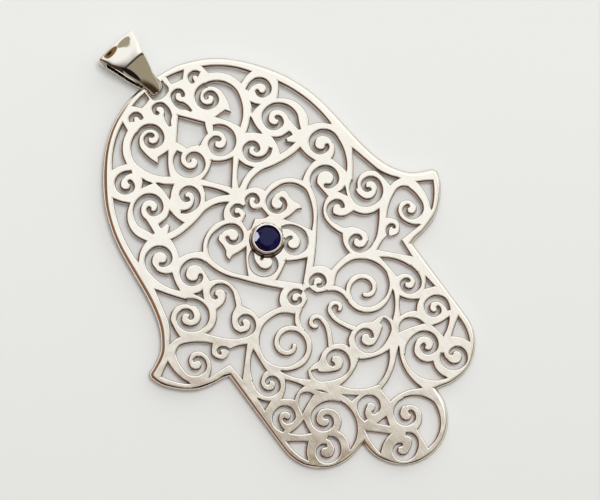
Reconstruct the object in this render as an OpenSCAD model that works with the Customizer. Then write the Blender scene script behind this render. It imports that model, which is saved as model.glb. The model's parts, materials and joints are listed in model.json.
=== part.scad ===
// Hamsa pendant: a pierced plate in the shape of a hand with two thumbs, a round faceted stone in a
// bezel at its centre and a tapered bail through a slot in the rim.
// It lies on a surface with its fingers towards -Y. The origin is under the middle of the whole
// pendant, on that surface. Lengths are in millimetres.

/* [Hand] */
// Length from the top of the dome to the tip of the middle finger
hand_length = 66; // [54:0.5:84]
// Width from thumb tip to thumb tip
hand_width = 50; // [46:0.5:60]
// Thickness of the plate
plate_t = 1.3; // [1:0.1:2]

/* [Stone and bezel] */
// Diameter of the stone
stone_d = 4; // [3:0.1:5]
// How far the bezel stands left of the middle line
bezel_aside = 0.35; // [0:0.05:0.6]
// Height of the stone's girdle above the front of the plate
girdle_rise = 1; // [0.8:0.05:1.6]
// Wall of the bezel
bezel_wall = 0.35; // [0.25:0.05:0.6]
// How far the bezel's lip reaches over the stone
lip_over = 0.14; // [0.1:0.01:0.2]
// Clearance between the stone and the metal
stone_clear = 0.05; // [0.03:0.01:0.1]

/* [Bail] */
// Radial width of the rim bar that carries the bail
bar_w = 1.05; // [0.9:0.05:1.5]
// Thickness of the bail's strip
strip_t = 0.55; // [0.4:0.05:0.8]
// Length of the bail from the slot to its far end
bail_length = 9.6; // [8:0.1:12]
// Width of the bail at its far end
bail_wide = 6.4; // [4.5:0.1:7.5]
// Width of the bail beside the bar
bail_waist = 2.5; // [2.2:0.1:2.7]
// Width of the bail where it lies in the slot
bail_narrow = 2; // [1.5:0.1:2.2]
// Depth of the bail at its far end, over the strip
bail_depth = 4.2; // [3.8:0.1:5.4]
// How far the bail stands left of the middle line
bail_aside = 0.4; // [0:0.05:0.45]
// Angle at which the bail leans to the left in its slot
bail_lean = 7.5; // [0:0.5:10]
// Clearance between the bail and the bar
bail_clear = 0.12; // [0.08:0.01:0.2]
// Clearance between the bail and each end of its slot
slot_clear = 0.1; // [0.06:0.02:0.2]

/* [Hidden] */

// The pattern is drawn on a grid with its zero at the crossing of the middle line and the stone.
// One cell is a share of the hand's width across and of its length along.
half_cells = 25;
top_cell = 28.2;
finger_r = 6.4;
tip_cell = -37.8;
cell_x = hand_width / (2 * half_cells);
cell_y = hand_length / (top_cell - tip_cell);
// Longest step along a curve: degrees in an opening, degrees in a round end, and cells
turn_step = 20;
round_step = 9;
span_most = 1.2;

// Stone: crown, pavilion and the shares that place their facets
stone_r = stone_d / 2;
girdle_t = 0.02 * stone_d;
crown_h = 0.16 * stone_d;
pavilion_h = 0.43 * stone_d;
table_r = 0.56 * stone_r;
kite_r = 0.79 * stone_r;
kite_share = 0.58;
lower_share = 0.3;
lower_drop = 0.72;
culet_r = 0.01 * stone_r;
crown_slope = crown_h / (stone_r - table_r);
pavilion_slope = pavilion_h / stone_r;
girdle_z = plate_t + girdle_rise;

// Bezel: a bore for the stone, a ledge under it and a lip over its crown
bore_r = stone_r + stone_clear;
bezel_r = bore_r + bezel_wall;
ledge_r = 0.84 * stone_r;
ledge_z = girdle_z - (stone_r - ledge_r) * pavilion_slope - stone_clear;
lip_r = stone_r - lip_over;
lip_low = girdle_z + girdle_t + stone_clear;
lip_in_z = lip_low + (bore_r - lip_r) * crown_slope + stone_clear;
lip_top = lip_in_z + 0.6 * bezel_wall;
lip_round = 0.3 * bezel_wall;
lip_open = 0.1;
foot_flare = 0.15;
foot_r = bezel_r + foot_flare;
foot_z = plate_t + 2 * foot_flare;
overrun = 1;

// Bail: a round eye about the rim bar, a larger round at the far end, and the strip's straight run.
// The eye leans, so the bar's corners reach further into it than they would square across.
bar_seen = bar_w * cos(bail_lean) + bail_waist * sin(bail_lean);
eye_in = norm([bar_seen, plate_t]) / 2 + bail_clear;
eye_out = eye_in + strip_t;
far_r = bail_depth / 2;
far_y = bail_length - eye_out - far_r;
run_l = norm([far_y, far_r - eye_out]);
run_slope = atan2(far_r - eye_out, far_y);
touch = run_slope + acos((eye_out - far_r) / run_l);

// Places along the middle line before the pendant lies down
top_y = top_cell * cell_y;
tip_y = tip_cell * cell_y;
bar_y = top_y - bar_w / 2;

// Slot for the bail: its upper side is the rim bar and its lower end is half an ellipse. It is centred
// on the leaning strip and clears it at its width beside the bar, which the swing turns into the slot.
slot_high = top_y - bar_w;
slot_w = bail_waist * cos(bail_lean) + strip_t * sin(bail_lean) + 2 * slot_clear;
slot_x = (eye_in + eye_out) / 2 * sin(bail_lean) - bail_aside;
slot_round = 0.8;
corner_drop = slot_round * sqrt(1 - pow(bail_waist * cos(bail_lean) / slot_w, 2));
run_z = (eye_out - plate_t / 2 * cos(touch)) / sin(touch);
slot_low = bar_y - run_z * cos(bail_lean) - bail_waist / 2 * sin(bail_lean) - slot_clear + corner_drop;
// Where the openings beside the slot begin, in cells
slot_web = 0.35;
beside_slot = max(1.95, (slot_w / 2 + abs(slot_x) + slot_web) / cell_x);

// At rest the bail's eye is on the surface and lifts the rim, and the fingertip touches
rest_tilt = asin((eye_out - plate_t / 2) / (bar_y - tip_y));
bar_at = [
  tip_y + (bar_y - tip_y) * cos(rest_tilt) - plate_t / 2 * sin(rest_tilt),
  (bar_y - tip_y) * sin(rest_tilt) + plate_t / 2 * cos(rest_tilt)
];
bail_reach = (bail_length - eye_out) * cos(bail_lean) + bail_wide / 2 * sin(bail_lean);
shift_y = (tip_y + bar_at[0] + bail_reach) / 2;

// Outline of the right half, from the dome's top to the thumb's tip: x, y in cells
SHOULDER = [
  [0, 28.2], [4, 27.85], [7.6, 26.5], [10.6, 24.4], [13.3, 21.5], [15.6, 18], [17.1, 14.4],
  [17.9, 11], [18.4, 6.6], [18.9, 2.4], [19.9, -1.2], [21.7, -3.9], [24.2, -5.3]
];
// The thumb's tip, its underside and the notch where it leaves the palm: x, y in cells
THUMB_TIP = [24.7, -5.5];
THUMB = [[25, -6.1], [24.3, -7.9], [22.6, -9.9], [20.4, -11.4], [17.8, -12.05], [16.1, -12.2]];
NOTCH = [15.95, -12.45];
// Right finger: x of its outer side and of its centre, y of its centre, in cells
finger_side_x = 15.9;
finger_x = 9.5;
finger_y = -25.1;

// Openings with bowed sides, cut on both sides of the middle line.
// Each corner is x, y and how far the side to the next corner bows out, in cells.
PAIRED_CELLS = [
  // Beside the bail and along the dome's rim
  [[beside_slot, 27.2, 0.05], [4.3, 26.65, 0], [3.5, 25.8, 0.05], [beside_slot, 26.15, 0]],
  [[7, 25.45, 0.45], [12, 20.95, -0.1], [10.05, 20.5, -0.65], [7.15, 24.3, 0]],
  [[14.4, 17.4, 0.6], [16.8, 8.2, -0.3], [14.25, 9.85, -1.35], [13, 15.6, -0.1]],
  // Small leaves of the crown
  [[9.45, 17.3, -0.08], [10.15, 16.35, -0.05], [8.75, 16.05, -0.1]],
  [[8.2, 15.7, -0.15], [8, 12.85, -0.1], [6.5, 14.15, -0.1]],
  [[3.15, 11.4, -0.15], [4.05, 9.55, -0.25], [0.85, 8.4, 0.15]],
  [[9, 11.35, -0.1], [10.1, 10.75, 0.05], [11.25, 10.7, 0.1], [11.35, 10.15, 0], [10.3, 10.25, 0.05],
   [10.15, 9.65, 0], [10.9, 9, 0.1], [8.5, 8.9, -0.15]],
  // Inner side of the crown's heart
  [[5.3, 23.32, 0.95], [8.8, 20, 0.6], [6.15, 15.5, -0.15], [4.25, 18.5, 0], [5.8, 18.5, 0],
   [6.35, 17.75, 0], [6.8, 18.8, -0.1], [7.1, 21.2, -0.3], [5.6, 22.95, 0]],
  // Openings that cross the middle line
  [[-0.05, 21.75, 0], [2.35, 18.8, -0.05], [1.75, 17.3, -0.1], [-0.05, 16.65, 0]],
  [[-0.05, 13.7, -0.25], [2.55, 12.35, 0], [-0.05, 9.1, 0]],
  [[-0.05, 5.9, 0], [0.45, 5.6, -0.1], [0.7, 4.6, 0], [1.65, 4.15, 0], [1.75, 2.7, 0], [1.3, 2.75, 0],
   [-0.05, 3.6, 0]],
  [[-0.05, -4, -0.1], [2.55, -5.35, 0], [-0.05, -7.9, 0]],
  [[-0.05, -21.2, -0.35], [4.15, -22.6, 0.55], [-0.05, -25.5, 0]],
  // Wing above the middle heart
  [[1.65, 7.55, 0.3], [5, 8.45, -0.15], [9.5, 7.75, -0.05], [11.2, 7.9, -0.15], [11.75, 5.25, -0.25],
   [8.7, 4.1, -0.95], [3.6, 5.95, -0.4]],
  // Side of the palm, above the thumb
  [[16.35, 6.1, 0.45], [14.55, 1.5, -0.1], [14, 4, -0.45], [15.6, 6.25, 0]],
  [[12, -0.45, -0.1], [13.1, -0.25, 0], [12.5, -1.35, 0]],
  [[17.2, 3.5, 0], [18.2, -0.9, -0.2], [20, -3.85, -0.1], [18.4, -3.85, -0.1], [18, -1.1, -1.1],
   [14.3, -1.35, 0], [13.3, -1.7, -0.15]],
  // Inner side of the middle heart
  [[4.9, 5.25, 0.9], [8.25, 2.5, 0.5], [5.55, -2.4, -0.1], [3.4, 0.95, -0.1], [5.5, 1, 0.05],
   [6.3, 0.7, 0], [6.45, 1.3, -0.1], [6.05, 2.2, 0.1], [6, 3.8, -0.3], [5.1, 4.55, 0]],
  // Between the middle heart and the side scroll
  [[9.2, 2.5, 0], [10.05, 2.3, 0], [10.2, 0.05, -0.5], [8, -2.3, -0.25], [8.65, -5.45, -0.3],
   [7.85, -8.25, -0.1], [4.45, -8.65, -0.35], [2.8, -6.85, -0.1], [6.9, -2.1, -0.4]],
  // Below the side scroll
  [[8.85, -3.2, 0], [9.45, -2.75, -0.15], [10.7, -3.75, 0], [11.9, -3.85, -0.1], [13, -5.2, -0.2],
   [14.95, -5.7, 0.1], [12.4, -8.5, 0.1], [10.9, -9.15, 0], [11.3, -8.3, -0.1], [11.6, -7.2, -0.4],
   [9.5, -4.9, 0.1]],
  // Thumb
  [[15.3, -7.3, 0.3], [18.9, -4.9, 0.25], [20.25, -5.75, 0], [19.55, -7.6, -0.85], [16.95, -7.5, -0.05],
   [16.7, -8.7, 0], [16.2, -8.5, -0.1]],
  [[11.5, -10.25, 0.1], [13.8, -9.35, 0], [14.15, -9.8, -0.1], [15.3, -10.1, -0.3], [16.2, -8.3, 0],
   [16.7, -8.2, -0.45], [18.4, -10.95, 0], [14.9, -11.05, 0], [14.75, -13.75, 0]],
  [[21.75, -5.8, 0.05], [23.6, -6.9, 0.2], [21, -10.05, -0.35]],
  // Beside the lower heart
  [[11.1, -11.4, 0.55], [14, -16.1, 0], [13.2, -16, -0.35], [11.4, -14.85, -0.05]],
  [[10, -17.5, -0.2], [11.8, -19.3, -0.1], [10.6, -20.3, -0.2], [8.5, -19.65, 0.1]],
  [[14.65, -17.25, 0], [14.75, -19.05, 0], [13.6, -18.6, -0.1]],
  [[11.3, -23.5, -0.15], [13.8, -23.8, 0.15], [11.6, -25.4, -0.05]],
  [[14.9, -24.6, 0.25], [14.1, -28.2, -0.2], [12.6, -26.2, 0.05]],
  // Side finger
  [[5.6, -24.4, 0.4], [5.5, -28, 0.4], [8.4, -30.5, -0.4], [8.15, -27.55, -0.7], [6.9, -24.6, 0]]
];

// Openings with bowed sides that stand on one side only, in the same columns
LONE_CELLS = [
  [[7, -21.4, 0.3], [8.6, -20.4, 0.4], [10.35, -22.4, -0.1]],
  [[-8.1, -21.4, 0.3], [-9.5, -20.35, 0.3], [-10.8, -22.5, -0.1]],
  [[-7.5, -20.9, 0.1], [-6.1, -22.5, 0.1]],
  [[0.1, -26.4, -0.35], [4.4, -24.1, 0], [5.7, -22.85, -0.85], [4.7, -29.5, -0.45], [0.15, -28.4, 0]],
  [[-4.8, -23.7, 0], [-3.1, -25.15, 0], [-4.2, -25.2, 0]],
  [[-5.15, -29.8, 0], [-2.7, -32.1, -0.25], [-5.3, -33.3, 0.15]],
  [[-3.2, -29.85, 0], [-1.7, -29.85, 0], [-2.1, -31, 0]],
  [[1.9, -29.2, 0.6], [4.85, -32.2, 0.4], [3.3, -35.6, 0.25], [0.5, -36.75, 0], [0.8, -33.9, -0.45],
   [2.75, -31.9, -0.35], [1.6, -30.2, 0]]
];

// Openings that curl, cut on both sides of the middle line, in cells and degrees: x and y of the
// centre, inner and outer radius, angle of the inner end, turn, width at the inner end and at the
// outer end, and then the points that the curl runs on to, each x, y and width.
PAIRED_CURLS = [
  // Crown
  [5.1, 24.8, 0.65, 0.75, 195, -180, 0.45, 0.55, []],
  [11.7, 17.95, 0.6, 1.45, 170, 280, 0.4, 0.7, [[10.15, 19.1, 0.25]]],
  [5, 21.3, 0.42, 1.88, 135, -425, 0.45, 0.6, []],
  [1.85, 24, 0.42, 1.05, -30, 215, 0.35, 0.5, [[1.25, 22.6, 0.9], [1.85, 21.3, 0.15]]],
  [2.3, 15.3, 0.5, 1.95, 50, 310, 0.5, 1.2, [[3, 17.4, 0.6]]],
  [5.75, 11.6, 0.45, 1.3, -50, 260, 0.5, 0.75, [[7.75, 10.3, 0.25]]],
  [10.85, 13.2, 0.35, 2, 30, -350, 0.4, 0.85, [[13.1, 12.2, 1.2], [12.75, 10.15, 0.15]]],
  // Palm
  [14, 6.5, 0.75, 2, -50, -325, 0.4, 0.9, []],
  [11.6, 2.05, 0.95, 2, 225, 310, 0.45, 0.8, []],
  [4, 3.3, 0.75, 1.45, 15, -265, 0.4, 0.6, [[5.3, 4.9, 0.65]]],
  [1.4, 5.7, 0.5, 0.95, -65, 235, 0.4, 0.4, [[0, 5.2, 0.6]]],
  [2.3, -2.4, 0.75, 1.8, 70, 300, 0.45, 1.05, [[2.3, 0.25, 0.4]]],
  [10.6, -2.3, 0.45, 1.75, -5, 215, 0.4, 0.75, [[9.6, -4.4, 0.6]]],
  [9.95, -7.6, 0.4, 1.6, 10, 290, 0.4, 0.6, [[12.1, -8.3, 0.6]]],
  [15.8, -2.3, 0.4, 1.45, 236, -265, 0.4, 0.6, [[15.2, -4.3, 0.85], [13.45, -2.9, 1.1], [14.5, -0.35, 0.4]]],
  // Thumb
  [18.6, -8.3, 0.55, 1.5, 95, 275, 0.4, 0.9, [[19.5, -5.85, 1.5]]],
  [14.85, -8.95, 0.35, 0.45, -10, 120, 0.3, 0.3, [[13.85, -9.4, 0.35]]],
  // Lower heart and side finger
  [2, -9.05, 0.55, 1.1, 225, 305, 0.4, 0.45, []],
  [2.8, -19.4, 0.6, 1.9, -15, 310, 0.45, 0.95, [[5.6, -20.1, 1.15], [5.9, -18.7, 0.85]]],
  [12, -16.6, 0.4, 1.6, 50, 320, 0.4, 0.75, [[13.3, -15, 1]]],
  [12.95, -21.7, 0.45, 1.6, -20, -335, 0.4, 0.8, [[14.4, -23, 0.25]]],
  [8.8, -25.2, 0.4, 1.95, 129, 339, 0.4, 0.65, [[6.2, -24.8, 1.2]]],
  [11.3, -28.7, 0.7, 1.8, 118, -305, 0.4, 0.85, [[9.95, -27.4, 0.3]]]
];

// Curling openings that stand on one side only, in the same columns
LONE_CURLS = [
  [-2.6, -27.5, 0.85, 1.25, -100, 230, 0.35, 1.15, [[-4.25, -28.5, 0.3]]],
  [-2.6, -34.75, 0.6, 1.45, 65, 230, 0.35, 0.9, [[-0.55, -35.1, 0.8], [-0.85, -33.45, 0.25]]],
  [0.95, -31.4, 0.5, 1.9, 12, -310, 0.4, 0.85, []]
];

// Inside of the lower heart, right half, in the columns of the bowed openings
HEART = [
  [-0.05, -8.85, 0], [0.45, -8.95, -0.1], [0.8, -10.2, -0.3], [3.6, -10.75, 0.1], [5, -9.55, 0.2],
  [7.7, -9.45, 0.75], [10.45, -13.4, 0.7], [7.2, -19.3, -0.05], [6.7, -18.2, -0.1], [4.7, -17.95, -0.75],
  [0.55, -17.85, -0.05], [-0.05, -18.9, 0]
];

// Scrolls of metal that fill the lower heart, in the columns of the curling openings
SPRAYS = [
  [6.6, -13.7, 0.75, 3.1, 230, 400, 0.8, 0.95, [[10.6, -13.7, 0.45]]],
  [1.8, -13.5, 0.45, 1.05, -60, 240, 0.75, 0.8, [[1.1, -15.6, 0.8], [2.35, -17.8, 0.9]]],
  [1.35, -13, 2.7, 2.7, 65, -75, 0.9, 0.9, []]
];

// A point of the pattern in millimetres
function place(p) = [p[0] * cell_x, p[1] * cell_y];
function heading(a) = [cos(a), sin(a)];
function flip(p) = [-p[0], p[1]];
function backwards(list) = [for (i = [len(list) - 1 : -1 : 0]) list[i]];
function total(list, i = 0) = i < len(list) ? list[i] + total(list, i + 1) : 0;

// Twice the area inside a loop of corners, positive where the loop runs anticlockwise
function loop_area(c) =
  total([for (i = [0 : len(c) - 1]) let (n = c[(i + 1) % len(c)]) c[i][0] * n[1] - n[0] * c[i][1]]);

// Points of one side from corner a up to corner b, bowed outwards by a's third column
function side(a, b, turn_way) =
  let (
    d = [b[0] - a[0], b[1] - a[1]],
    chord = norm(d),
    bend = 4 * atan2(2 * abs(a[2]), chord),
    way = turn_way * sign(a[2]),
    steps = bend == 0 ? 1 : max(ceil(bend / turn_step), ceil(chord / span_most)),
    base = atan2(d[1], d[0])
  )
  [for (i = [0 : steps - 1])
    let (f = i / steps)
    bend == 0 ? [a[0], a[1]]
      : [a[0], a[1]] + chord * sin(bend * f / 2) / sin(bend / 2) * heading(base - way * bend / 2 * (1 - f))];

function bowed_loop(corners) =
  let (turn_way = sign(loop_area(corners)))
  [for (i = [0 : len(corners) - 1])
    each side(corners[i], corners[(i + 1) % len(corners)], turn_way)];

// Middle line of a curl: points with the width in the third column
function spiral(c) =
  let (steps = ceil(abs(c[5]) / turn_step))
  [for (i = [0 : steps])
    let (f = i / steps, r = c[2] + (c[3] - c[2]) * f, a = c[4] + c[5] * f)
    [c[0] + r * cos(a), c[1] + r * sin(a), c[6] + (c[7] - c[6]) * f]];

// Direction in which a spiral ends
function spiral_end(c) =
  let (a = c[4] + c[5], grow = (c[3] - c[2]) / (c[5] * PI / 180))
  atan2(grow * sin(a) + c[3] * cos(a), grow * cos(a) - c[3] * sin(a)) + (c[5] < 0 ? 180 : 0);

function wrapped(a) = a - 360 * round(a / 360);

// The line run on by arcs, each tangent to what comes before it and ending at the next point
function run_on(line, course, targets, k = 0) =
  k == len(targets) ? line
    : let (
        p = line[len(line) - 1],
        q = targets[k],
        d = [q[0] - p[0], q[1] - p[1]],
        off = wrapped(atan2(d[1], d[0]) - course),
        steps = max(2, ceil(abs(2 * off) / turn_step)),
        arc = [for (i = [1 : steps])
          let (
            f = i / steps,
            reach = abs(off) < 0.5 ? norm(d) * f : norm(d) * sin(off * f) / sin(off),
            at = [p[0], p[1]] + reach * heading(course + off * f)
          )
          [at[0], at[1], p[2] + (q[2] - p[2]) * f]]
      )
      run_on(concat(line, arc), course + 2 * off, targets, k + 1);

// Outline of a strip of changing width along a line, with a round inner end
function strip_loop(line) =
  let (
    last = len(line) - 1,
    across = [for (i = [0 : last])
      let (a = line[max(i - 1, 0)], b = line[min(i + 1, last)], d = [b[0] - a[0], b[1] - a[1]])
      [-d[1], d[0]] / norm(d)],
    left = [for (i = [0 : last]) [line[i][0], line[i][1]] + across[i] * line[i][2] / 2],
    right = [for (i = [0 : last]) [line[i][0], line[i][1]] - across[i] * line[i][2] / 2],
    start = atan2(-across[0][1], -across[0][0]),
    cap = [for (i = [1 : 3])
      [line[0][0], line[0][1]] + line[0][2] / 2 * heading(start - i * 45)]
  )
  concat(left, backwards(right), cap);

function curl_loop(c) = strip_loop(run_on(spiral(c), spiral_end(c), c[8]));

// Smooth curve through points, open at both ends
function through(points, per_span) =
  let (last = len(points) - 1)
  [for (i = [0 : last - 1])
    let (p0 = points[max(i - 1, 0)], p1 = points[i], p2 = points[i + 1], p3 = points[min(i + 2, last)])
    for (k = [0 : per_span - 1])
    let (t = k / per_span)
    0.5 * (2 * p1 + (p2 - p0) * t + (2 * p0 - 5 * p1 + 4 * p2 - p3) * t * t
      + (3 * p1 - p0 - 3 * p2 + p3) * t * t * t)];

// Points of a round end: centre, radius across and along, first angle and last angle
function round_end(centre, across, along, from, to) =
  let (steps = ceil(abs(to - from) / round_step))
  [for (i = [0 : steps])
    let (a = from + (to - from) * i / steps)
    centre + [across * cos(a), along * sin(a)]];

// Half outline of the hand, from the dome's top to the tip of the middle finger
HALF_HAND = concat(through(SHOULDER, 2), [THUMB_TIP], through(THUMB, 2), [NOTCH],
  round_end([finger_x, finger_y], finger_side_x - finger_x, finger_r, 0, -108),
  round_end([0, tip_cell + finger_r], finger_r, finger_r, 4, -90));

module loop_2d(points) {
  polygon([for (p = points) place(p)]);
}

module both_sides() {
  children();
  mirror([1, 0]) children();
}

module openings() {
  both_sides() {
    for (c = PAIRED_CELLS) loop_2d(bowed_loop(c));
    for (c = PAIRED_CURLS) loop_2d(curl_loop(c));
    loop_2d(bowed_loop(HEART));
  }
  for (c = LONE_CELLS) loop_2d(bowed_loop(c));
  for (c = LONE_CURLS) loop_2d(curl_loop(c));
}

// Slot for the bail, between the rim bar and the crown, with a round lower end
module slot_2d() {
  polygon(concat([[slot_x - slot_w / 2, slot_high], [slot_x + slot_w / 2, slot_high]],
    round_end([slot_x, slot_low], slot_w / 2, slot_round, 0, -180)));
}

module pattern() {
  difference() {
    loop_2d(concat(HALF_HAND, backwards([for (p = HALF_HAND) flip(p)])));
    openings();
    slot_2d();
  }
  both_sides() {
    for (c = SPRAYS) loop_2d(curl_loop(c));
  }
}

module bezel_solid() {
  rotate_extrude($fn = 64)
    polygon([
      [0, 0], [foot_r, 0], [foot_r, foot_z - foot_flare], [bezel_r, foot_z], [bezel_r, lip_low],
      [bezel_r - lip_round, lip_top - lip_round], [lip_r + lip_round, lip_top], [0, lip_top]
    ]);
}

module bezel_hollow() {
  rotate_extrude($fn = 64)
    polygon([
      [0, ledge_z], [bore_r, ledge_z], [bore_r, lip_low], [lip_r, lip_in_z],
      [lip_r + lip_open, lip_top + overrun], [0, lip_top + overrun]
    ]);
  translate([0, 0, -overrun]) cylinder(r = ledge_r, h = ledge_z + 2 * overrun, $fn = 64);
}

module plate_flat() {
  difference() {
    union() {
      linear_extrude(height = plate_t) pattern();
      translate([-bezel_aside, 0, 0]) bezel_solid();
    }
    translate([-bezel_aside, 0, 0]) bezel_hollow();
  }
}

// Rings of a round brilliant with eight sides to its table: radius, height, points and first angle
BRILLIANT = [
  [table_r, girdle_z + girdle_t + crown_h, 8, 0],
  [kite_r, girdle_z + girdle_t + kite_share * crown_h, 8, 22.5],
  [stone_r, girdle_z + girdle_t, 16, 0],
  [stone_r, girdle_z, 16, 0],
  [lower_share * stone_r, girdle_z - lower_drop * pavilion_h, 8, 22.5],
  [culet_r, girdle_z - pavilion_h, 8, 22.5]
];
function ring_start(k) = k == 0 ? 0 : ring_start(k - 1) + BRILLIANT[k - 1][2];
function on_ring(k, i) = ring_start(k) + (i + BRILLIANT[k][2]) % BRILLIANT[k][2];

module stone_flat() {
  points = [for (b = BRILLIANT) for (i = [0 : b[2] - 1])
    let (a = b[3] + i * 360 / b[2])
    [b[0] * cos(a), b[0] * sin(a), b[1]]];
  translate([-bezel_aside, 0, 0])
    polyhedron(points, concat(
      [backwards([for (i = [0 : 7]) on_ring(0, i)])],
      [for (i = [0 : 7]) each [
        [on_ring(0, i), on_ring(0, i + 1), on_ring(1, i)],
        [on_ring(0, i), on_ring(1, i), on_ring(2, 2 * i)],
        [on_ring(0, i), on_ring(2, 2 * i), on_ring(1, i - 1)],
        [on_ring(1, i), on_ring(2, 2 * i + 1), on_ring(2, 2 * i)],
        [on_ring(1, i), on_ring(2, 2 * i + 2), on_ring(2, 2 * i + 1)]
      ]],
      [for (i = [0 : 15]) [on_ring(2, i), on_ring(2, i + 1), on_ring(3, i + 1), on_ring(3, i)]],
      [for (i = [0 : 7]) each [
        [on_ring(3, 2 * i), on_ring(3, 2 * i + 1), on_ring(4, i)],
        [on_ring(3, 2 * i + 1), on_ring(3, 2 * i + 2), on_ring(4, i)],
        [on_ring(3, 2 * i), on_ring(4, i), on_ring(5, i)],
        [on_ring(3, 2 * i), on_ring(5, i), on_ring(5, i - 1)],
        [on_ring(3, 2 * i), on_ring(5, i - 1), on_ring(4, i - 1)]
      ]],
      [[for (i = [0 : 7]) on_ring(5, i)]]
    ));
}

// Taper of the bail from just above the plate to its far end: share of the way, share of the widening
TAPER = [[0, 0], [0.1, 0.16], [0.27, 0.36], [0.56, 0.62], [0.8, 0.83], [1, 1]];
waist_y = plate_t / 2 + 0.15;

// Side view of the bail: two rounds of unlike size and the strip between them, from which the
// inside is taken by drawing the same shape thinner
module drop(thinner) {
  circle(r = eye_out - thinner, $fn = 48);
  translate([far_y, far_r - eye_out]) circle(r = far_r - thinner, $fn = 64);
  polygon([
    (eye_out - thinner) * heading(touch),
    (eye_out - thinner) * heading(-90),
    [far_y, far_r - eye_out] + (far_r - thinner) * heading(-90),
    [far_y, far_r - eye_out] + (far_r - thinner) * heading(touch)
  ]);
}

module bail_flat() {
  waist = [bail_waist / 2, waist_y];
  far = [bail_wide / 2, bail_length - eye_out];
  half = concat([[bail_narrow / 2, -eye_out]], [for (t = TAPER)
    [waist[0] + (far[0] - waist[0]) * t[1], waist[1] + (far[1] - waist[1]) * t[0]]]);
  intersection() {
    rotate([90, 0, 90]) translate([0, 0, -bail_wide]) linear_extrude(height = 2 * bail_wide)
      difference() {
        drop(0);
        drop(strip_t);
      }
    translate([0, 0, -2 * bail_depth]) linear_extrude(height = 4 * bail_depth)
      polygon(concat(half, backwards([for (p = half) flip(p)])));
  }
}

module hamsa_plate() {
  color("silver") rest_plate() plate_flat();
}

module stone() {
  color("midnightblue") rest_plate() stone_flat();
}

module bail() {
  color("lightgrey") translate([-bail_aside, bar_at[0] - shift_y, eye_out])
    rotate([0, 0, bail_lean]) bail_flat();
}

module rest_plate() {
  translate([0, tip_y - shift_y, 0]) rotate([rest_tilt, 0, 0]) translate([0, -tip_y, 0]) children();
}

hamsa_plate();
stone();
bail();
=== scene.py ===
"""Hamsa pendant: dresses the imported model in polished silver, a blue stone and soft daylight.

The plate is rebuilt from its own CAD outline with worn edges, the bezel as a turned form and the
bail as a bent strip. Lengths are in millimetres and angles in degrees, and both are changed where
meshes, materials and lights are made. The plate leans a little in the world, so it and the bezel are
worked out in a flat frame, where the plate's back is at height 0.
"""
import json
import math

import bpy
import numpy as np
from mathutils import Matrix, Vector
from mathutils.bvhtree import BVHTree
from mathutils.geometry import delaunay_2d_cdt


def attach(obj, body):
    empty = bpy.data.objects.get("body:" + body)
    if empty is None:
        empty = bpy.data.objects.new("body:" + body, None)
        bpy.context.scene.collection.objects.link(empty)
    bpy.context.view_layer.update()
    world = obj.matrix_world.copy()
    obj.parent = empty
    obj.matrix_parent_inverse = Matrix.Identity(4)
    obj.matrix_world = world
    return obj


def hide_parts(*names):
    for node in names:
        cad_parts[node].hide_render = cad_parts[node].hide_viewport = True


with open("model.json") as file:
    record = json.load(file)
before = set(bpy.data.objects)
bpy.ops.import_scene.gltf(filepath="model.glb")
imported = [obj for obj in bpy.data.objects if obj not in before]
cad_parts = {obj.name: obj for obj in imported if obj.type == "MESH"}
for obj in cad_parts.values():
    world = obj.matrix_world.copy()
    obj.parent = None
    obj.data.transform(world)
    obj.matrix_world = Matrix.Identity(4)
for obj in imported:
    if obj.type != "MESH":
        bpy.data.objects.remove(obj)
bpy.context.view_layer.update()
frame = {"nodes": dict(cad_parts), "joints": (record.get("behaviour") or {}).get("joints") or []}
MM = 0.001

# Worn edges of the outer rim and of the openings: how far they reach in and down, the most that they
# take of the metal beside them, the step from which they take the sawn walls' material with its painted
# shade, and the steps from the flat face to the wall, each a share of the reach, a share of the depth and a
# tilt
RIM = {
    "reach": 0.72, "depth": 0.5, "share": 0.5, "dark_from": 4,
    "steps": [(1, 0, 0), (0.86, 0.04, 20), (0.58, 0.2, 32), (0.34, 0.38, 43), (0.12, 0.68, 60), (0, 1, 90)],
}
GAP = {
    "reach": 0.25, "depth": 0.27, "share": 0.36, "dark_from": 3,
    "steps": [(1, 0, 0), (0.8, 0.05, 16), (0.52, 0.21, 32), (0.24, 0.46, 42), (0.07, 0.74, 62), (0, 1, 90)],
}
BACK_EDGE = 0.08
# How gently the reach changes along an edge
EVEN_PASSES = 16
EVEN_SLOPE = 0.12

# Outline: a corner is sharp above the one turn and straight below the other, points nearer than
# SAME_POINT are one, and a side shorter than SHORT_SIDE isn't divided
SHARP_TURN = 38
STRAIGHT_TURN = 0.5
SAME_POINT = 0.01
SHORT_SIDE = 0.12
# The least that a mitre is divided by, which keeps it short at a sharp corner
MITRE_LEAST = 0.45
# How far across the metal the next wall is looked for, and how far from its own wall that starts
LOOK_FAR = 3
LOOK_FROM = 0.01
# How exactly a point lies on the plate's back or on the bezel's foot, and how level a face is
ON_PLACE = 0.02
NEARLY_LEVEL = 0.99
LEVEL = 0.999
MERGE_WITHIN = 1e-6
POINTS_AT_ONCE = 4000

# Silver: how many clouds, dents and scratches go to a metre, how far scratches are drawn out, how deep
# they can be, and the part of the noise over which the shade or the roughness changes
CLOUDS = 60
CLOUD_CHANGE = (0.3, 0.62)
DENTS = 160
SCRATCHES = 1400
SCRATCH_STRETCH = (1, 0.35, 1)
SCRATCH_DEPTH = 0.05
SCRATCH_CHANGE = (0.25, 0.75)

# Walls of the openings: their colour near the back, the painted shade that darkens them near the front,
# where it changes, and how unevenly
SAWN_PALE = (0.84, 0.62, 0.53)
SAWN_PAINTED_SHADE = (0.09, 0.045, 0.03)
SAWN_CHANGE = (0.68, 0.95)
SAWN_NOISE = 900
SAWN_UNEVEN = 0.3

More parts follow.
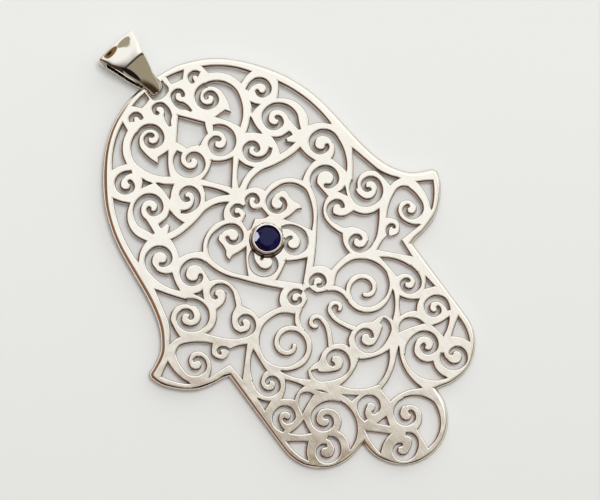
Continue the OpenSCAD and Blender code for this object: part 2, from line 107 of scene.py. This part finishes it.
# Bezel, as in the construction
LEDGE_SHARE = 0.84
LEDGE_DROP = 0.35
LEDGE_EDGE = 0.03
BORE_CLEAR = 0.05
BEZEL_WALL = 0.35
FOOT_FLARE = 0.15
LIP_OVER = 0.14
GIRDLE_CLEAR = 0.06
GIRDLE_POINTS = 16
BEZEL_SIDES = 96
# Its profile in steps out and up: from the lip's inner top corner, from the wall at the lip's height,
# and from the wall and the foot at the height of the plate's front
LIP_STEPS = [(0.01, -0.13), (0, -0.06), (0.02, -0.01), (0.06, 0), (0.17, -0.01), (0.22, -0.06)]
SHOULDER_STEPS = [(-0.19, -0.2), (-0.08, -0.4), (-0.02, -0.62)]
FLARE_STEPS = [(0, 0.34), (0.03, 0.26)]
FOOT_STEPS = [(-0.03, 0.2), (0, 0.12), (0, -0.03)]
# Its colours, the way to its shaded side, and where it turns dark: below the lip, and past the middle
BEZEL_BRIGHT = (0.97, 0.95, 0.91)
BEZEL_BROWN = (0.50, 0.36, 0.19)
BEZEL_DARK = (0.10, 0.06, 0.04)
BEZEL_SHADED = (-0.72, -0.69, 0)
BEZEL_BELOW = (0.04, 0.3)
BEZEL_PAST = (-0.6, 1.6)
BEZEL_CHANGE = (0.3, 0.75, 0.8667)
STREAKS = 900
STREAK_STRETCH = (1, 1, 3)
STREAK_SHARE = 0.5

# Bail: the strip's thickness, how far its middle stands over its sides and how that falls off, and
# its tilt sideways, which grows evenly and then quickly at the very edge
STRIP_T = 0.55
STRIP_DOME = 0.2
DOME_POWER = 2.4
SIDE_TILT = 24
EDGE_TILT = 36
EDGE_POWER = 9
DOME_STEPS = 16
# From the strip's outer side round its edge: share of the half width, share of the thickness, tilt
STRIP_EDGE = [(1, 0.6, 90), (0.985, 0.92, 120), (0.93, 1, 180), (0.4, 1, 180)]
# Tilt towards the slot that the strip shines with, by the share of each stretch: round the far end,
# along the top, round the eye and along the bottom. It makes the flat strip look gently bent
FAR_TILTS = [(0, -180), (0.477, -90), (0.66, -45), (0.69, 2), (0.81, 12), (0.89, 18), (1, 20)]
TOP_TILTS = [(0, 20), (0.19, 27), (0.72, 39), (1, 45)]
EYE_TILTS = [(0, 45), (0.36, 50), (1, 180)]
BOTTOM_TILTS = [(0, -180), (1, -180)]
# How much of its tilt sideways the strip shines with: round the far end, along the top and elsewhere
FAR_SIDES = [(0, 0.6), (1, 0.6)]
TOP_SIDES = [(0, 0.6), (0.19, 0.85), (1, 1)]
FULL_SIDES = [(0, 1), (1, 1)]
# Sections in each stretch
FAR_COUNT = 64
TOP_COUNT = 48
EYE_COUNT = 32
BOTTOM_COUNT = 16

# Stone: two shades of its depth, the painted lighter shade of its table, and the facet with a painted
# glint, by tilt and azimuth
STONE_DEEP = [(0.002, 0.001, 0.012), (0.008, 0.006, 0.05)]
STONE_TABLE = (0.006, 0.006, 0.048)
STONE_GLINT = (0.52, 0.57, 0.80)
STONE_CLOUDS = 700
STONE_CHANGE = (0.3, 0.7)
TABLE_NEAR = (0.995, 0.999)
GLINT_FACET = (36, 135)
GLINT_NEAR = (0.983, 0.985)

# Photo: its size, its scale, the stone's place in it, and its right and top in the world
IMAGE = (600, 500)
PX_PER_MM = 7.12
STONE_PX = (267.1, 240)
PHOTO_X = Vector((0.805, -0.593, 0))
PHOTO_UP = Vector((0.593, 0.805, 0))
WORLD_UP = Vector((0, 0, 1))
# Camera: how far it leans from straight above, how far that way is turned from the photo's bottom to
# its left, how far away it stands, how wide its sensor is, and the nearest that it sees
LEAN = 10
LEAN_TO = 10
CAMERA_AWAY = 360
SENSOR = 36
NEAREST = 10

# Paper under the pendant: its shades at the photo's bottom and top, which paint a falloff of light,
# how far from the middle it has them, and how unevenly it changes
PAPER = [(0.578, 0.611, 0.623), (0.631, 0.672, 0.684)]
PAPER_REACH = 36
PAPER_CLOUDS = 14
PAPER_UNEVEN = 0.25
FLOOR_SIZE = 1600

# Room: dark low down, brown at the photo's left, pale at its top right, and bright overhead. Each is
# where it lies, as shares of the photo's right, of its top and of straight up, the two cosines
# between which it comes in, and its colour
LOW_DARK = (0.045, 0.024, 0.012)
SHADES = [
    ((-1, 0, 0), 0.3, 0.8, (0.24, 0.12, 0.06)),
    ((0.5, 0.85, 0), 0.05, 0.5, (1.15, 1.13, 1.08)),
    ((0.12, 0.12, 1), 0.55, 0.85, (1.0, 1.0, 0.99)),
]
# Round patches in it that the silver mirrors: where each lies, the two radii between which it ends,
# and its colour. First a dim one with a black middle, a little below overhead, then one at the left
# and one at the right, then a wide one at the bottom right with a dark line round it, and two in that
DIM_LEAN = 9.5
DIM_AT = (0, -math.tan(math.radians(DIM_LEAN)), 1)
WIDE_AT = (0.617, -0.642, -0.454)
PATCHES = [
    (DIM_AT, 13.4, 16, (0.21, 0.13, 0.05)),
    (DIM_AT, 4.5, 5.5, (0.012, 0.011, 0.012)),
    ((-0.85, 0.3, 1), 8, 11, (0.10, 0.055, 0.03)),
    ((0.402, 0.096, 0.911), 12, 14, (0.38, 0.34, 0.25)),
    (WIDE_AT, 71.6, 73, (0.05, 0.035, 0.03)),
    (WIDE_AT, 69.5, 70.6, (0.34, 0.30, 0.215)),
    ((0.28, -0.82, 0.5), 12, 13, (0.012, 0.009, 0.014)),
    ((0.45, -0.85, -0.25), 27, 40, (0.05, 0.028, 0.014)),
]
# Sun: its strength, colour, where it stands and how wide it is
KEY_POWER = 2.25
KEY_COLOUR = (1.0, 0.94, 0.90)
KEY_FROM = (0.12, 0.06, 1)
KEY_WIDTH = 26


# Mesh helpers
def new_object(name, verts, faces, material):
    mesh = bpy.data.meshes.new(name)
    mesh.from_pydata([tuple(v) for v in verts], [], faces)
    mesh.materials.append(material)
    mesh.polygons.foreach_set("use_smooth", [True] * len(mesh.polygons))
    mesh.update()
    obj = bpy.data.objects.new(name, mesh)
    bpy.context.scene.collection.objects.link(obj)
    return obj


def cad_mesh(node):
    """Welded vertices and triangles of a CAD node."""
    mesh = frame["nodes"][node].data
    co = np.empty(len(mesh.vertices) * 3)
    mesh.vertices.foreach_get("co", co)
    co = co.reshape(-1, 3) / MM
    mesh.calc_loop_triangles()
    tri = np.empty(len(mesh.loop_triangles) * 3, int)
    mesh.loop_triangles.foreach_get("vertices", tri)
    _, first, same = np.unique(np.round(co, 3), axis=0, return_index=True, return_inverse=True)
    tri = same.reshape(-1)[tri].reshape(-1, 3)
    good = (tri[:, 0] != tri[:, 1]) & (tri[:, 1] != tri[:, 2]) & (tri[:, 0] != tri[:, 2])
    return co[first], tri[good]


def unit(vectors):
    """Vectors in rows, each made one long."""
    return vectors / np.maximum(np.linalg.norm(vectors, axis=1), 1e-12)[:, None]


def cross(a, b):
    """Cross product of flat vectors."""
    return a[..., 0] * b[..., 1] - a[..., 1] * b[..., 0]


def face_areas(co, tri):
    """Normals of triangles, each as long as twice the triangle's area."""
    return np.cross(co[tri[:, 1]] - co[tri[:, 0]], co[tri[:, 2]] - co[tri[:, 0]])


def direction(angle):
    """Cosine and sine of an angle: the flat vector that points there."""
    return np.array((math.cos(math.radians(angle)), math.sin(math.radians(angle))))


# Node helpers
def feed(tree, node, inputs):
    """Each input gets its value, or a link where the value is another node's output."""
    for key, value in inputs.items():
        if isinstance(value, bpy.types.NodeSocket):
            tree.links.new(value, node.inputs[key])
        else:
            node.inputs[key].default_value = value


def add_node(tree, kind, inputs, **settings):
    node = tree.nodes.new("ShaderNode" + kind)
    for name, value in settings.items():
        setattr(node, name, value)
    feed(tree, node, inputs)
    return node


def noise(tree, coords, scale, detail, rough=0.55, stretch=None):
    if stretch:
        coords = add_node(tree, "Mapping", {"Vector": coords, "Scale": stretch}).outputs["Vector"]
    inputs = {"Vector": coords, "Scale": scale, "Detail": detail, "Roughness": rough}
    return add_node(tree, "TexNoise", inputs).outputs["Fac"]


def ramp(tree, value, positions, colours):
    """Blends colours by value; each is pure at its position."""
    node = add_node(tree, "ValToRGB", {"Fac": value})
    elements = node.color_ramp.elements
    while len(elements) < len(colours):
        elements.new(0.5)
    for element, position, colour in zip(elements, positions, colours):
        element.position = position
        element.color = (*colour, 1)
    return node.outputs["Color"]


def bump(tree, height, strength, distance, below=None):
    inputs = {"Height": height, "Strength": strength, "Distance": distance * MM}
    if below:
        inputs["Normal"] = below
    return add_node(tree, "Bump", inputs).outputs["Normal"]


def dot(tree, vector, along):
    node = add_node(tree, "VectorMath", {0: vector, 1: along}, operation="DOT_PRODUCT")
    return node.outputs["Value"]


def between(tree, value, start, end, curve="LINEAR"):
    """Goes from 0 to 1 while the value goes from start to end."""
    inputs = {"Value": value, "From Min": start, "From Max": end}
    return add_node(tree, "MapRange", inputs, interpolation_type=curve).outputs["Result"]


def multiply_add(tree, value, factor, addend):
    node = add_node(tree, "Math", {0: value, 1: factor, 2: addend}, operation="MULTIPLY_ADD")
    return node.outputs["Value"]


def mix(tree, factor, first, second):
    """A colour between two, each a tuple or another node's output."""
    first, second = ((*c, 1) if isinstance(c, tuple) else c for c in (first, second))
    return add_node(tree, "Mix", {"Factor": factor, 6: first, 7: second}, data_type="RGBA").outputs[2]


def new_material(name):
    """A material, its tree, its shader and the coordinates of its object."""
    material = bpy.data.materials.new(name)
    material.use_nodes = True
    tree = material.node_tree
    coords = tree.nodes.new("ShaderNodeTexCoord").outputs["Object"]
    return material, tree, tree.nodes["Principled BSDF"], coords


def silver(name, shade, rough, dents, scratches):
    """Silver whose shade a function makes.

    rough is its least and greatest roughness, dents their depth and scratches their strength.
    """
    material, tree, shader, coords = new_material(name)
    fine = noise(tree, coords, SCRATCHES, 4, 0.65, SCRATCH_STRETCH)
    roughness = ramp(tree, fine, SCRATCH_CHANGE, [(value,) * 3 for value in rough])
    dented = bump(tree, noise(tree, coords, DENTS, 2), 1.0, dents)
    scratched = bump(tree, fine, scratches, SCRATCH_DEPTH, dented)
    feed(tree, shader, {"Base Color": shade(tree, coords), "Metallic": 1.0,
                        "Roughness": roughness, "Normal": scratched})
    return material


def clouded(dark, light):
    """A shade that changes in soft clouds."""
    return lambda tree, coords: ramp(tree, noise(tree, coords, CLOUDS, 2), CLOUD_CHANGE, (dark, light))


# The plate laid flat
def flat_frame(co, tri):
    """Matrix that lays the leaning plate flat, and the height of its back then."""
    areas = face_areas(co, tri)
    normal = areas[unit(areas)[:, 2] > NEARLY_LEVEL].sum(0)
    normal /= np.linalg.norm(normal)
    turn = np.array(Vector(normal).rotation_difference(WORLD_UP).to_matrix())
    return turn, (co @ turn.T)[:, 2].min()


def laid_flat(co):
    flat = co @ turn.T
    flat[:, 2] -= low
    return flat


def in_world(flat):
    """Points of the flat frame, in metres in the world."""
    world = np.array(flat)
    world[:, 2] += low
    return world @ turn * MM


plate_co, plate_tri = cad_mesh("hamsa_plate")
turn, low = flat_frame(plate_co, plate_tri)
plate_flat = laid_flat(plate_co)
stone_flat = laid_flat(cad_mesh("stone")[0])
# The plate's thickness is the height of its outermost wall
thick = plate_flat[np.argsort(plate_flat[:, 0])[:4], 2].max()
lip_top = plate_flat[:, 2].max()
stone_at = (stone_flat[:, :2].min(0) + stone_flat[:, :2].max(0)) / 2
stone_r = np.ptp(stone_flat[:, 0]) / 2
bore_r = stone_r + BORE_CLEAR
bezel_r = bore_r + BEZEL_WALL
foot_r = bezel_r + FOOT_FLARE


# Plate
def boundary_loops(flat, tri):
    """Loops of the plate's back face, each with the metal on its left seen from the front."""
    normals = unit(face_areas(flat, tri))
    back = tri[(normals[:, 2] < -LEVEL) & (np.abs(flat[tri[:, 0], 2]) < ON_PLACE)]
    edges = dict.fromkeys(edge for a, b, c in back for edge in ((b, a), (c, b), (a, c)))
    ahead = {}
    for a, b in edges:
        if (b, a) not in edges:
            ahead.setdefault(a, []).append(b)
    loops = []
    while ahead:
        loop, at = [], next(iter(ahead))
        while at in ahead:
            loop.append(at)
            after = ahead[at].pop()
            if not ahead[at]:
                del ahead[at]
            at = after
        loops.append(flat[loop][:, :2])
    return loops


def corner_turn(loop):
    before, after = loop - np.roll(loop, 1, 0), np.roll(loop, -1, 0) - loop
    return np.degrees(np.arctan2(cross(before, after), (before * after).sum(1)))


def without_doubles(loop):
    return loop[np.linalg.norm(loop - np.roll(loop, 1, 0), axis=1) > SAME_POINT]


def refined(loop):
    """The loop with a point added to each bent side, on the curve through its neighbours."""
    turns = np.abs(corner_turn(loop))
    sharp = turns > SHARP_TURN
    before, after, after_next = (np.roll(loop, shift, 0) for shift in (1, -1, -2))
    chord = after - loop
    size = np.linalg.norm(chord, axis=1)[:, None]
    leave = np.where(sharp[:, None], chord, after - before)
    arrive = np.where(np.roll(sharp, -1)[:, None], chord, after_next - loop)
    middle = (loop + after) / 2 + (unit(leave) - unit(arrive)) * size / 8
    stiff = (turns < STRAIGHT_TURN) | sharp
    skip = stiff & np.roll(stiff, -1) | (size[:, 0] < SHORT_SIDE)
    out = []
    for i, point in enumerate(loop):
        out.append(point)
        if not skip[i]:
            out.append(middle[i])
    return np.array(out)


def ways_in(loop):
    """The way into the metal at each point, longer at a corner, as a mitre is."""
    side = unit(np.roll(loop, -1, 0) - loop)
    after = np.stack([-side[:, 1], side[:, 0]], 1)
    before = np.roll(after, 1, 0)
    return (before + after) / np.maximum(1 + (before * after).sum(1), MITRE_LEAST)[:, None]


def upright_walls(loops):
    """A search tree of the walls that stand on the loops."""
    verts, quads = [], []
    for loop in loops:
        base, count = len(verts), len(loop)
        for x, y in loop:
            verts += [(x, y, -1), (x, y, 1)]
        for i in range(count):
            a, b = base + 2 * i, base + 2 * ((i + 1) % count)
            quads.append((a, b, b + 1, a + 1))
    return BVHTree.FromPolygons(verts, quads)


def reaches(loop, way, goal, share, walls):
    """How far an edge is worn at each point: the goal, or less where the metal is narrow."""
    reach = np.empty(len(loop))
    for i, (point, inward) in enumerate(zip(loop, way)):
        ray = Vector((*inward, 0)).normalized()
        distance = walls.ray_cast(Vector((*point, 0)) + ray * LOOK_FROM, ray, LOOK_FAR)[3]
        reach[i] = min(goal, share * (LOOK_FAR if distance is None else distance))
    reach[np.abs(np.linalg.norm(loop - stone_at, axis=1) - foot_r) < ON_PLACE] = 0
    step = np.linalg.norm(np.roll(loop, -1, 0) - loop, axis=1)
    for _ in range(EVEN_PASSES):
        reach = np.minimum(reach, np.roll(reach, 1) + EVEN_SLOPE * np.roll(step, 1))
        reach = np.minimum(reach, np.roll(reach, -1) + EVEN_SLOPE * step)
        reach = np.minimum(reach, (np.roll(reach, 1) + 2 * reach + np.roll(reach, -1)) / 4)
    return reach


def edge_rings(loop, way, front, back, edge):
    """Rings from the front over the worn edge, down the wall and over the back's edge.

    Each is its points, their heights, and how much the surface there faces up and out.
    """
    deep = edge["depth"] / edge["reach"] * front
    rings = []
    for inward, down, tilt in edge["steps"]:
        rings.append((loop + way * (front * inward)[:, None], thick - deep * down, *direction(tilt)))
    rings.append((loop, back, 0, 1))
    rings.append((loop + way * back[:, None], 0, -1, 0))
    return rings


def wall_normals(loop):
    """Outward normals at both ends of each side, shared with the next side at a soft corner."""
    side = unit(np.roll(loop, -1, 0) - loop)
    out = np.stack([side[:, 1], -side[:, 0]], 1)
    mean = unit(out + np.roll(out, 1, 0))
    soft = np.abs(corner_turn(loop)) < SHARP_TURN
    first = np.where(soft[:, None], mean, out)
    last = np.where(np.roll(soft, -1)[:, None], np.roll(mean, -1, 0), out)
    return first, last


def inside_metal(points, loops):
    """True where the loops cross the line to the right of a point an odd number of times."""
    odd = np.zeros(len(points), bool)
    for a in loops:
        b = np.roll(a, -1, 0)
        for start in range(0, len(points), POINTS_AT_ONCE):
            p = points[start:start + POINTS_AT_ONCE, None]
            over = (a[:, 1] > p[..., 1]) != (b[:, 1] > p[..., 1])
            with np.errstate(divide="ignore", invalid="ignore"):
                x = a[:, 0] + (p[..., 1] - a[:, 1]) * (b[:, 0] - a[:, 0]) / (b[:, 1] - a[:, 1])
            crossings = np.where(over, x > p[..., 0], False).sum(1)
            odd[start:start + POINTS_AT_ONCE] ^= (crossings % 2).astype(bool)
    return odd


def cap(rings, numbers, verts, height, upward):
    """Triangles over the flat metal between rings, on the rings' own numbered vertices.

    A point that no ring has, where two of them cross, becomes a new vertex.
    """
    edges, at = [], 0
    for ring in rings:
        edges += [(at + i, at + (i + 1) % len(ring)) for i in range(len(ring))]
        at += len(ring)
    points = [Vector(p) for p in np.concatenate(rings)]
    made = delaunay_2d_cdt(points, edges, [], 0, MERGE_WITHIN)
    co, tri, same_as = np.array([tuple(v) for v in made[0]]), np.array(made[2]), made[3]
    index = []
    for (x, y), same in zip(co, same_as):
        index.append(int(numbers[same[0]]) if same else len(verts))
        if not same:
            verts.append((x, y, height))
    faces = []
    for t in tri[inside_metal(co[tri].mean(1), rings)]:
        to_left = cross(co[t[1]] - co[t[0]], co[t[2]] - co[t[0]]) > 0
        faces.append(tuple(index[i] for i in (t if to_left == upward else t[::-1])))
    return faces


def build_plate(polished, sawn):
    loops = [refined(refined(without_doubles(loop))) for loop in boundary_loops(plate_flat, plate_tri)]
    walls = upright_walls(loops)
    rim = max(range(len(loops)), key=lambda k: np.ptp(loops[k][:, 0]))
    ledge = min(range(len(loops)), key=lambda k: np.linalg.norm(loops[k].mean(0) - stone_at))
    verts, faces, normals, sawn_or_shaded, fronts, backs = [], [], [], [], [], []
    for k, loop in enumerate(loops):
        edge = RIM if k == rim else GAP
        way = ways_in(loop)
        front = reaches(loop, way, edge["reach"], edge["share"], walls)
        back = reaches(loop, way, BACK_EDGE, edge["share"], walls)
        if k == ledge:
            front = front * 0
        rings = edge_rings(loop, way, front, back, edge)
        count, base = len(loop), len(verts)
        for xy, heights, _, _ in rings:
            verts += [(x, y, z) for (x, y), z in zip(xy, np.broadcast_to(heights, count))]
        fronts.append((rings[0][0], base + np.arange(count)))
        backs.append((rings[-1][0], len(verts) - count + np.arange(count)))
        first, last = wall_normals(loop)
        for r, ((_, _, up0, out0), (_, _, up1, out1)) in enumerate(zip(rings, rings[1:])):
            a, b = base + r * count, base + (r + 1) * count
            for i in range(count):
                j = (i + 1) % count
                faces.append((a + j, a + i, b + i, b + j))
                normals += [(*(last[i] * out0), up0), (*(first[i] * out0), up0),
                            (*(first[i] * out1), up1), (*(last[i] * out1), up1)]
            # From the dark_from step to the wall the faces take the sawn material: its painted shade
            # darkens the worn edge's lowest steps
            sawn_or_shaded += [int(edge["dark_from"] <= r < len(edge["steps"]))] * count
    for flats, height, up in ((fronts, thick, 1), (backs, 0, -1)):
        rings, numbers = zip(*flats)
        made = cap(rings, np.concatenate(numbers), verts, height, up > 0)
        faces += made
        normals += [(0, 0, up)] * 3 * len(made)
        sawn_or_shaded += [0] * len(made)
    obj = new_object("plate_rounded", in_world(verts), faces, polished)
    obj.data.materials.append(sawn)
    obj.data.polygons.foreach_set("material_index", sawn_or_shaded)
    obj.data.normals_split_custom_set([tuple(n) for n in np.array(normals) @ turn])
    return obj


def sawn_colour_and_shade(tree, coords):
    """Painted shade: dark near the front, paler towards the back; it also darkens the worn edges' lowest
    steps.
    """
    share = between(tree, dot(tree, coords, turn[2]), low * MM, (low + thick) * MM)
    uneven = multiply_add(tree, noise(tree, coords, SAWN_NOISE, 3), SAWN_UNEVEN, share)
    return ramp(tree, uneven, SAWN_CHANGE, (SAWN_PALE, SAWN_PAINTED_SHADE))


plate_shade = clouded((0.94, 0.90, 0.82), (0.965, 0.935, 0.87))
plate_silver = silver("silver_plate", plate_shade, rough=(0.10, 0.17), dents=0.05, scratches=0.07)
sawn_and_shade_silver = silver("silver_sawn_and_shade", sawn_colour_and_shade, rough=(0.35, 0.5), dents=0.1, scratches=0.3)
plate = build_plate(plate_silver, sawn_and_shade_silver)
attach(plate, "hand")
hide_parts("hamsa_plate")


# Bezel
def bezel_profile():
    """Up the hole under the stone, out over the ledge, up the bore, over the lip and down to the foot."""
    by_distance = np.argsort(np.linalg.norm(stone_flat[:, :2] - stone_at, axis=1))
    girdle = stone_flat[by_distance[-GIRDLE_POINTS:], 2]
    ledge_r, ledge_z = LEDGE_SHARE * stone_r, girdle.min() - LEDGE_DROP
    profile = [(ledge_r, thick), (ledge_r, ledge_z - LEDGE_EDGE), (ledge_r + LEDGE_EDGE, ledge_z),
               (bore_r, ledge_z), (bore_r, girdle.max() + GIRDLE_CLEAR)]
    for r, z, steps in ((stone_r - LIP_OVER, lip_top, LIP_STEPS), (bezel_r, lip_top, SHOULDER_STEPS),
                        (bezel_r, thick, FLARE_STEPS), (foot_r, thick, FOOT_STEPS)):
        profile += [(r + out, z + up) for out, up in steps]
    return profile


def turned(name, profile, centre, sides, material):
    verts, faces = [], []
    for r, z in profile:
        for i in range(sides):
            verts.append((*(centre + r * direction(360 * i / sides)), z))
    for k in range(len(profile) - 1):
        for i in range(sides):
            j = (i + 1) % sides
            faces.append((k * sides + j, k * sides + i, (k + 1) * sides + i, (k + 1) * sides + j))
    return new_object(name, in_world(verts), faces, material)


def bezel_shade(tree, coords):
    """Bright at the lip; darker and brown down the wall on the side that light seldom reaches."""
    tops = [(low + lip_top - depth) * MM for depth in BEZEL_BELOW]
    down = between(tree, dot(tree, coords, turn[2]), *tops, "SMOOTHSTEP")
    middle = float(in_world([(*stone_at, 0)])[0] @ np.array(BEZEL_SHADED))
    sides = [middle + past * MM for past in BEZEL_PAST]
    beside = between(tree, dot(tree, coords, BEZEL_SHADED), *sides, "SMOOTHSTEP")
    both = multiply_add(tree, down, beside, 0)
    streaks = multiply_add(tree, noise(tree, coords, STREAKS, 3, 0.6, STREAK_STRETCH), STREAK_SHARE, both)
    return ramp(tree, streaks, BEZEL_CHANGE, (BEZEL_BRIGHT, BEZEL_BROWN, BEZEL_DARK))


bezel_silver = silver("silver_bezel", bezel_shade, rough=(0.07, 0.14), dents=0.03, scratches=0.06)
bezel = turned("bezel_ring", bezel_profile(), stone_at, BEZEL_SIDES, bezel_silver)
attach(bezel, "hand")


# Bail, from its eye: across the strip, along towards the far end, and up
hinge = frame["joints"][0]
eye = np.array(hinge["pos_m"]) / MM
across = np.array(hinge["axis"])
across /= np.linalg.norm(across)
up = np.array(WORLD_UP)
along = np.cross(up, across)
bail_co = (cad_mesh("bail")[0] - eye) @ np.stack([across, along, up], 1)
eye_r = -bail_co[:, 1].min()
far_r = np.ptp(bail_co[:, 2]) / 2
far_at = np.array((bail_co[:, 1].max() - far_r, far_r - eye_r))
# Half the strip's width by the distance along it
half_at, half_rows = np.unique(np.round(bail_co[:, 1], 3), return_index=True)
half_widths = np.abs(bail_co[half_rows, 0])


def bail_path():
    """Sections round the outside of the drop, from below its far end, over the top and back below.

    Each is its place, the strip's way out, the angle of its shine and its share of sideways tilt.
    """
    touch = math.degrees(math.atan2(far_at[1], far_at[0])
                         + math.acos((eye_r - far_r) / math.hypot(*far_at)))
    path = []

    def stretch(count, tilts, sides, section_at):
        for i in range(count):
            share = i / count
            shine, side = (np.interp(share, *zip(*table)) for table in (tilts, sides))
            path.append((*section_at(share), 90 + shine, side))

    def arc(centre, r, start, end):
        def section_at(share):
            out = direction(start + (end - start) * share)
            return centre + r * out, out
        return section_at

    def straight(start, end, out):
        return lambda share: (start + (end - start) * share, out)

    upper, lower = direction(touch), direction(-90)
    stretch(FAR_COUNT, FAR_TILTS, FAR_SIDES, arc(far_at, far_r, -90, touch))
    stretch(TOP_COUNT, TOP_TILTS, TOP_SIDES, straight(far_at + far_r * upper, eye_r * upper, upper))
    stretch(EYE_COUNT, EYE_TILTS, FULL_SIDES, arc(np.zeros(2), eye_r, touch, 270))
    stretch(BOTTOM_COUNT, BOTTOM_TILTS, FULL_SIDES, straight(eye_r * lower, far_at + far_r * lower, lower))
    return path


def strip_section():
    """Across the strip: share of the half width, height over the outer side, tilt of the surface."""
    section = []
    for i in range(DOME_STEPS + 1):
        u = -1 + 2 * i / DOME_STEPS
        tilt = SIDE_TILT * u + EDGE_TILT * np.sign(u) * abs(u) ** EDGE_POWER
        section.append((u, -STRIP_DOME * abs(u) ** DOME_POWER, tilt))
    section += [(u, -STRIP_T * depth, tilt) for u, depth, tilt in STRIP_EDGE]
    section += [(-u, -STRIP_T * depth, 360 - tilt) for u, depth, tilt in reversed(STRIP_EDGE)]
    return section


def build_bail(material):
    section, path = strip_section(), bail_path()
    in_plane = np.stack([along, up])
    verts, normals, faces = [], [], []
    for place, out, shine, side in path:
        half = np.interp(place[0], half_at, half_widths)
        inner, outer = out @ in_plane, direction(shine) @ in_plane
        for u, height, tilt in section:
            verts.append(eye + across * (u * half) + (place + out * height) @ in_plane)
            way, tilt = (outer, tilt * side) if -90 < tilt < 90 else (inner, tilt)
            outward, sideways = direction(tilt)
            normals.append(across * sideways + way * outward)
    rings, count = len(path), len(section)
    for i in range(rings):
        j = (i + 1) % rings
        for s in range(count):
            t = (s + 1) % count
            faces.append((i * count + s, j * count + s, j * count + t, i * count + t))
    obj = new_object("bail_strip", np.array(verts) * MM, faces, material)
    obj.data.normals_split_custom_set_from_vertices([tuple(n) for n in normals])
    return obj


bail_shade = clouded((0.90, 0.87, 0.80), (0.93, 0.91, 0.86))
bail_silver = silver("silver_bail", bail_shade, rough=(0.03, 0.06), dents=0.02, scratches=0.03)
bail = build_bail(bail_silver)
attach(bail, "bail")
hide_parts("bail")


# Stone
def blue_stone():
    """Dark blue, with painted light: a shade lighter on its table and a painted glint on one facet."""
    material, tree, shader, coords = new_material("stone_blue")
    facet = tree.nodes.new("ShaderNodeNewGeometry").outputs["True Normal"]
    deep = ramp(tree, noise(tree, coords, STONE_CLOUDS, 2), STONE_CHANGE, STONE_DEEP)
    tilt, azimuth = GLINT_FACET
    height, outward = direction(tilt)
    glint = np.array((*(outward * direction(azimuth)), height)) @ turn
    shade = mix(tree, between(tree, dot(tree, facet, turn[2]), *TABLE_NEAR), deep, STONE_TABLE)
    shade = mix(tree, between(tree, dot(tree, facet, glint), *GLINT_NEAR), shade, STONE_GLINT)
    feed(tree, shader, {"Base Color": shade, "Roughness": 0.03, "IOR": 1.3})
    return material


stone = frame["nodes"]["stone"]
stone.data.materials.clear()
stone.data.materials.append(blue_stone())


# Floor, camera and light
def photo_way(right, top, above):
    """A way in the world, from its shares of the photo's right, of its top and of straight up."""
    return PHOTO_X * right + PHOTO_UP * top + WORLD_UP * above


def pale_paper():
    """Paper with a painted falloff of light: a little lighter towards the photo's top."""
    material, tree, shader, coords = new_material("paper")
    slope = add_node(tree, "Mapping", {
        "Vector": coords, "Location": -PHOTO_UP * PAPER_REACH * MM,
        "Rotation": (0, 0, math.atan2(PHOTO_UP.y, PHOTO_UP.x)),
        "Scale": (2 * PAPER_REACH * MM, 1, 1)}, vector_type="TEXTURE")
    parts = add_node(tree, "SeparateXYZ", {"Vector": slope.outputs["Vector"]})
    shade = multiply_add(tree, noise(tree, coords, PAPER_CLOUDS, 4), PAPER_UNEVEN, parts.outputs["X"])
    feed(tree, shader, {"Base Color": ramp(tree, shade, (0, 1), PAPER), "Roughness": 0.8})
    return material


def place_camera():
    """Looks at the middle of the photo, leaning back towards the photo's bottom and a little left."""
    aside, below = ((size / 2 - px) / PX_PER_MM * MM for size, px in zip(IMAGE, STONE_PX))
    aim = Vector(in_world([(*stone_at, thick)])[0]) + photo_way(aside, -below, 0)
    (height, outward), (to_bottom, to_left) = direction(LEAN), direction(LEAN_TO)
    back = photo_way(-to_left * outward, -to_bottom * outward, height)
    right = PHOTO_UP.cross(back).normalized()
    axes = Matrix((right, back.cross(right), back)).transposed().to_4x4()
    camera = bpy.data.objects.new("camera", bpy.data.cameras.new("camera"))
    camera.data.sensor_width = SENSOR
    camera.data.lens = PX_PER_MM * CAMERA_AWAY * SENSOR / IMAGE[0]
    camera.data.clip_start = NEAREST * MM
    camera.matrix_world = Matrix.Translation(aim + back * CAMERA_AWAY * MM) @ axes
    bpy.context.scene.collection.objects.link(camera)
    bpy.context.scene.camera = camera


def light_room():
    world = bpy.data.worlds.new("studio")
    bpy.context.scene.world = world
    world.use_nodes = True
    tree = world.node_tree
    look = tree.nodes.new("ShaderNodeTexCoord").outputs["Generated"]

    def painted(room, way, start, end, colour):
        """The room with a colour that comes in smoothly towards a way, between two cosines."""
        near = dot(tree, look, photo_way(*way).normalized())
        return mix(tree, between(tree, near, start, end, "SMOOTHSTEP"), room, colour)

    room = LOW_DARK
    for way, start, end, colour in SHADES:
        room = painted(room, way, start, end, colour)
    for way, inner, outer, colour in PATCHES:
        room = painted(room, way, direction(outer)[0], direction(inner)[0], colour)
    feed(tree, tree.nodes["Background"], {"Color": room})


def light_key():
    """One broad soft sun, which the silver doesn't mirror."""
    data = bpy.data.lights.new("key", "SUN")
    data.angle = math.radians(KEY_WIDTH)
    data.energy = KEY_POWER
    data.color = KEY_COLOUR
    key = bpy.data.objects.new("key", data)
    key.rotation_mode = "QUATERNION"
    key.rotation_quaternion = photo_way(*KEY_FROM).to_track_quat("Z", "Y")
    key.visible_glossy = False
    bpy.context.scene.collection.objects.link(key)


bpy.ops.mesh.primitive_plane_add(size=FLOOR_SIZE * MM, location=(0, 0, 0))
floor = bpy.context.object
floor.name = "floor"
floor.data.materials.append(pale_paper())

place_camera()
light_room()
light_key()
bpy.context.scene.view_settings.view_transform = "Standard"
